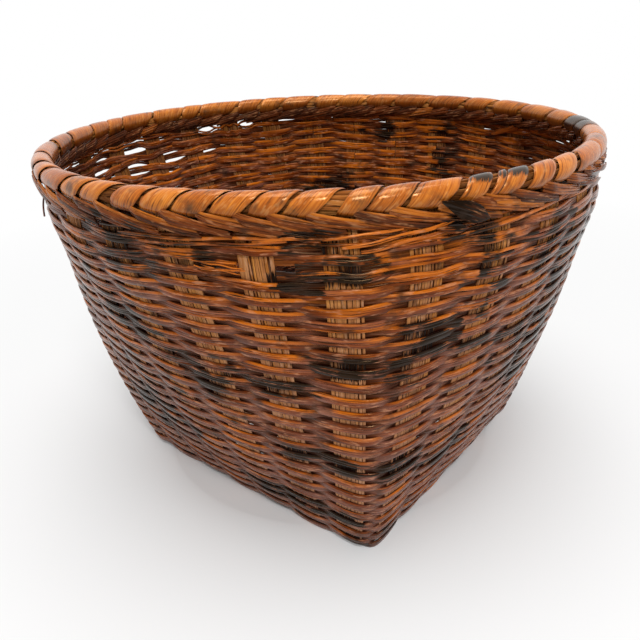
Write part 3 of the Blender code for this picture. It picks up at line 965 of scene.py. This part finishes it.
def add_loose_strands(bundle):
    """Strands that have come free of the rows and lie slanting over them."""
    share = np.linspace(0, 1, 24)
    for start, low, end, high, near, far, width, tone in LOOSE_STRANDS:
        place = between(start, end, share) % STAKES
        bend = min(0.0003, 0.0002 * (end - start))
        level = between(low, high, share) + wander(share * STAKES, bend, 1, 2)
        point, _, up, out = wall_frame(place, level)
        front = math.copysign(0.9, near)
        depth = between(near, far, share) - 0.0012 * front * held(1 - 8 * share)
        path = point + out * depth[:, None]
        taper = width * (1 - 0.5 * held(8 * share - 7))
        age = 0.1 + 0.3 * (1 - tone)
        burn = 0.8 * burn_at(place, level)
        add_strand(bundle, path, up, taper, min(0.0011, width), tone, burn, age, front, power=2.6)


def make_loose_rows(material):
    """Thin rows between the braid and the weft, straying up and down."""
    for index, base in enumerate(LOOSE_ROW_HEIGHTS):
        bundle = Bundle()
        for strand in range(2):
            first = dice.integers(0, STAKES)
            stake = first + 0.5 + ROUND_WALL
            far = on_far_side(stake)
            level = base + 0.002 * (strand - 0.5) + wander(stake, 0.001, 3, 12) * (1 - 0.7 * far)
            place = leaning(stake, level) % STAKES
            level = part_rows(place, level, base)
            swing = weave_swing(np.cos(np.pi * stake) * (-1) ** (index + WEFT_ROWS))
            point, _, up, out = wall_frame(place, level)
            path = point + out * (WEFT_SWING * swing)[:, None]
            tone = held(0.68 + wander(stake, 0.12, 2, 12))
            width = LOOSE_ROW_WIDTH + wander(stake, 0.00015, 3, 20) + 0.001 * far
            burn = burn_at(place, level) * dice.uniform(0.4, 1.1)
            add_strand(bundle, path, up, width, LOOSE_ROW_THICKNESS, tone, burn, 0.05, swing)
        if index == 1:
            add_loose_strands(bundle)
        bundle.piece(f"loose_rows_{index + 1}", material, "weft_strand", [f"top_strand_{index + 1}"])


class Shading:
    """Short ways to add nodes to the tree of a material or a world."""

    def __init__(self, owner):
        owner.use_nodes = True
        self.nodes = owner.node_tree.nodes
        self.links = owner.node_tree.links

    def fill(self, node, inputs):
        """Give a node's inputs, by name or number, other nodes' outputs, colours or plain values."""
        for label, value in inputs.items():
            socket = node.inputs[label]
            if isinstance(value, bpy.types.NodeSocket):
                self.links.new(value, socket)
            elif socket.type == "RGBA":
                socket.default_value = (*value, 1.0)
            else:
                socket.default_value = value

    def add(self, kind, inputs, **settings):
        """Make a node and return its outputs."""
        node = self.nodes.new("ShaderNode" + kind)
        for label, value in settings.items():
            setattr(node, label, value)
        self.fill(node, inputs)
        return node.outputs

    def attribute(self, label, output="Fac"):
        return self.add("Attribute", {}, attribute_name=label)[output]

    def maths(self, operation, *values):
        return self.add("Math", dict(enumerate(values)), operation=operation)[0]

    def scaled(self, vector, factors):
        return self.add("VectorMath", {0: vector, 1: factors}, operation="MULTIPLY")["Vector"]

    def noise(self, vector, scale, detail):
        return self.add("TexNoise", {"Vector": vector, "Scale": scale, "Detail": detail})["Fac"]

    def mix(self, factor, first, second):
        return self.add("Mix", {"Factor": factor, "A": first, "B": second}, data_type="RGBA")["Result"]

    def mix_shaders(self, factor, first, second):
        return self.add("MixShader", {0: factor, 1: first, 2: second})[0]

    def steps(self, value, none_at, full_at):
        """0 at none_at and beyond it, 1 at full_at and beyond, and even between."""
        return self.add("MapRange", {"Value": value, "From Min": none_at, "From Max": full_at})["Result"]

    def ramp(self, value, stops):
        node = self.nodes.new("ShaderNodeValToRGB")
        elements = node.color_ramp.elements
        while len(elements) < len(stops):
            elements.new(0.5)
        for element, (position, colour) in zip(elements, stops):
            element.position = position
            element.color = (*colour, 1.0)
        self.fill(node, {"Fac": value})
        return node.outputs["Color"]


def make_wood(name, stops, wear_and_sheen_colour, painted_glint, roughness, line_scale, line_depth, contrast, cracks, sheen):
    """Varnished wood: lengthwise lines, a tone per strand, greyed parts (partly painted sheen), painted
    glints, dark and charred patches, and painted shade.
    """
    material = bpy.data.materials.new(name)
    make = Shading(material)
    shader = make.nodes["Principled BSDF"]
    make.fill(shader, {"Specular IOR Level": sheen, "Specular Tint": GLOSS_TINT, "Coat Weight": 0.0})

    grain = make.attribute("grain", "Vector")
    lines = make.noise(make.scaled(grain, (line_scale, line_scale, LINE_SCALE_ALONG)), 1.0, 3.0)
    place = make.add("TexCoord", {})["Object"]
    blotches = make.noise(place, BLOTCH_SCALE, 4.0)
    specks = make.noise(make.scaled(grain, SPECK_SCALE), 1.0, 2.0)

    tone = make.maths("MULTIPLY_ADD", make.attribute("tone"), 0.85, -0.5 * contrast)
    shade = make.maths("MULTIPLY_ADD", lines, contrast, tone)
    shade = make.maths("MULTIPLY_ADD", blotches, 0.5, make.maths("SUBTRACT", shade, 0.18))
    colour = make.ramp(shade, stops)

    patchy = make.maths("MULTIPLY_ADD", blotches, 1.3, 0.15)
    # Greyed parts: partly weathering, partly painted sheen
    colour = make.mix(make.maths("MULTIPLY", make.attribute("age"), patchy), colour, wear_and_sheen_colour)
    # Painted glints: pale streaks on the wood
    colour = make.mix(make.maths("MULTIPLY", make.steps(specks, 0.56, 0.7), 0.45), colour, painted_glint)

    burn = make.attribute("burn")
    ragged = make.maths("MULTIPLY_ADD", make.maths("ADD", lines, blotches), 4.4, -4.5)
    charred = make.maths("ADD", burn, make.maths("MULTIPLY", ragged, burn))
    # Char: black, with painted grey highlights along the lines
    char = make.mix(make.steps(lines, 0.54, 0.72), CHAR_DEEP, CHAR_PAINTED_GLINT)
    colour = make.mix(make.steps(charred, 0.3, 0.6), colour, char)

    stained = make.steps(make.noise(place, STAIN_SCALE, 4.0), 0.56, 0.72)
    colour = make.mix(make.maths("MULTIPLY", stained, 0.75), colour, STAIN)
    depth = make.maths("MULTIPLY_ADD", specks, 0.35, make.maths("MULTIPLY", lines, 0.8))
    colour = make.mix(make.maths("MULTIPLY", make.steps(depth, 0.5, 0.4), cracks), colour, CRACK)
    # Painted shade: the colour goes towards a dark red-brown as far as the painted shade at each point asks
    dim = make.attribute("dim")
    colour = make.mix(dim, colour, PAINTED_SHADE_COLOUR)
    rough = make.maths("MULTIPLY_ADD", lines, 0.25, roughness - 0.12)
    rough = make.maths("MULTIPLY_ADD", dim, 0.25, rough)
    bump = make.add("Bump", {"Strength": 0.7, "Distance": line_depth, "Height": lines})["Normal"]
    make.fill(shader, {"Base Color": colour, "Roughness": rough, "Normal": bump})
    return material


def make_camera():
    """The photograph's view: 0.46 m from the near side, looking down over the corner of the base."""
    pitch, roll = math.radians(CAMERA_PITCH), math.radians(CAMERA_ROLL)
    level = Vector(CAMERA_HEADING).normalized()
    right = Vector((level.y, -level.x, 0.0))
    ahead = level * math.cos(pitch) + Vector((0, 0, -math.sin(pitch)))
    down = ahead.cross(right)
    picture_right = right * math.cos(roll) + down * math.sin(roll)
    picture_down = down * math.cos(roll) - right * math.sin(roll)
    axes = Matrix((picture_right, -picture_down, -ahead)).transposed()
    data = bpy.data.cameras.new("camera")
    data.lens = LENS
    data.sensor_width = SENSOR
    data.clip_start = 0.01
    camera = put_in_scene("camera", data)
    camera.matrix_world = Matrix.Translation(Vector(CAMERA_PLACE)) @ axes.to_4x4()
    bpy.context.scene.camera = camera


def make_lamp(name, place, size, energy):
    """A square soft lamp that faces the basket."""
    data = bpy.data.lights.new(name, "AREA")
    data.size = size
    data.energy = energy
    lamp = put_in_scene(name, data)
    lamp.location = place
    aim = Vector(LAMP_AIM) - Vector(place)
    lamp.rotation_euler = aim.to_track_quat("-Z", "Y").to_euler()


def white_where_seen(make, plain, seen):
    """Mix two shaders: seen for camera, glossy and transmission rays, plain for falling light."""
    rays = make.add("LightPath", {})
    most = make.maths("MAXIMUM", rays["Is Camera Ray"], rays["Is Glossy Ray"])
    most = make.maths("MAXIMUM", most, rays["Is Transmission Ray"])
    return make.mix_shaders(most, plain, seen)


def make_world():
    """White surroundings that light the basket softly."""
    world = bpy.data.worlds.new("studio")
    bpy.context.scene.world = world
    make = Shading(world)
    light = make.nodes["Background"]
    make.fill(light, {"Color": WHITE, "Strength": WORLD_LIGHT})
    white = make.add("Background", {"Color": WHITE, "Strength": 1.0})[0]
    surface = white_where_seen(make, light.outputs[0], white)
    make.fill(make.nodes["World Output"], {"Surface": surface})


def make_floor():
    """A pale floor with the basket's shadow, which fades to white away from it."""
    bpy.ops.mesh.primitive_circle_add(vertices=96, radius=FLOOR_RADIUS, fill_type="NGON")
    floor = bpy.context.object
    floor.name = "floor"
    pale = bpy.data.materials.new("pale_floor")
    make = Shading(pale)
    shader = make.nodes["Principled BSDF"]
    make.fill(shader, {"Base Color": FLOOR_PALE, "Roughness": 0.9, "Specular IOR Level": 0.0})
    glow = make.add("Emission", {"Color": WHITE})[0]
    place = make.add("TexCoord", {})["Object"]
    away = make.steps(make.add("VectorMath", {0: place}, operation="LENGTH")["Value"], *FLOOR_FADE)
    fading = make.mix_shaders(make.maths("POWER", away, FLOOR_EASE), shader.outputs[0], glow)
    surface = white_where_seen(make, shader.outputs[0], fading)
    make.fill(make.nodes["Material Output"], {"Surface": surface})
    floor.data.materials.append(pale)


def main():
    """The camera, the stage and every piece of the basket."""
    make_camera()
    make_world()
    make_floor()
    for name, place, size, energy in LAMPS:
        make_lamp(name, place, size, energy)
    woods = {name: make_wood(name, **looks) for name, looks in WOODS.items()}
    make_splints(woods["stake_wood"])
    make_weft(woods["weft_wood"])
    make_loose_rows(woods["weft_wood"])
    make_core(woods["core_wood"])
    spans = wrap_spans()
    make_lashing(woods["lashing_wood"], spans)
    for side in (1, -1):
        make_braid(woods["braid_wood"], spans, side)


main()
bpy.context.scene.view_settings.view_transform = "Standard"
